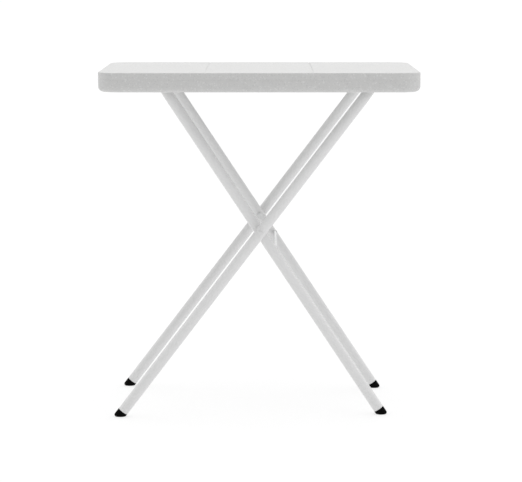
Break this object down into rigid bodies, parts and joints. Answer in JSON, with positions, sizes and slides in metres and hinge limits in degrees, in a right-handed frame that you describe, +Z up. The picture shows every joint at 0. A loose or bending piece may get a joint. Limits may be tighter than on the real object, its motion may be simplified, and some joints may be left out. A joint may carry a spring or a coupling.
{
  "type": "folding table",
  "caption": "Small rectangular folding table: moulded plastic top on crossing tubular steel leg frames with a scissor pivot and plastic feet.",
  "frame": {"origin": "on the floor under the middle of the top", "axes": "+Z up; +X along the top's length towards the end where the outer leg frame is hinged; +Y from the front long side to the rear one"},
  "size_m": [0.66, 0.46, 0.722],
  "materials": {
    "top_plastic": "fine-textured moulding with pale granite fleck",
    "frame_paint": "light grey powder coat",
    "rivet_paint": "light grey, slightly worn",
    "foot_plastic": "black moulding",
    "black_plastic": "black moulding",
    "latch_plastic": "dark grey moulding",
    "nylon": "natural nylon",
    "screw_steel": "zinc plated"
  },
  "bodies": {
    "top": {"table_top": "top_plastic", "block_screws": "screw_steel", "clip_screws": "screw_steel", "hinge_block_front": "black_plastic", "hinge_block_rear": "black_plastic", "hinge_strap_front": "screw_steel", "hinge_strap_rear": "screw_steel", "rest_clip_front": "black_plastic", "rest_clip_rear": "black_plastic", "latch_pin_front": "screw_steel", "latch_pin_rear": "screw_steel"},
    "outer_legs": {"outer_frame": "frame_paint", "outer_foot_front": "foot_plastic", "outer_foot_rear": "foot_plastic", "pivot_bolt_front": "rivet_paint", "pivot_bolt_rear": "rivet_paint", "pivot_spacer_front": "nylon", "pivot_spacer_rear": "nylon", "pivot_nut_front": "screw_steel", "pivot_nut_rear": "screw_steel"},
    "inner_legs": {"inner_frame": "frame_paint", "brace_rod": "screw_steel", "inner_foot_front": "foot_plastic", "inner_foot_rear": "foot_plastic"},
    "latch_front": {"bar_latch_front": "latch_plastic"},
    "latch_rear": {"bar_latch_rear": "latch_plastic"}
  },
  "joints": [
    {"name": "leg_fold", "type": "hinge", "parent": "top", "child": "outer_legs", "pos_m": [0.2355, 0, 0.694], "axis": [0, 1, 0], "range_deg": [0, 47.15]},
    {"name": "scissor", "type": "hinge", "parent": "outer_legs", "child": "inner_legs", "pos_m": [0.00168, 0, 0.38754], "axis": [0, 1, 0], "range_deg": [-105.3, 0]},
    {"name": "latch_front_swing", "type": "hinge", "parent": "top", "child": "latch_front", "pos_m": [-0.1778, -0.088, 0.697], "axis": [0, -1, 0], "range_deg": [0, 35], "stiffness_Nm_per_rad": 0.05, "springref_deg": -17.19},
    {"name": "latch_rear_swing", "type": "hinge", "parent": "top", "child": "latch_rear", "pos_m": [-0.1778, 0.088, 0.697], "axis": [0, -1, 0], "range_deg": [0, 35], "stiffness_Nm_per_rad": 0.05, "springref_deg": -17.19}
  ],
  "couplings": [
    {"joint": "scissor", "follows": "leg_fold", "ratio": -2.2282}
  ]
}
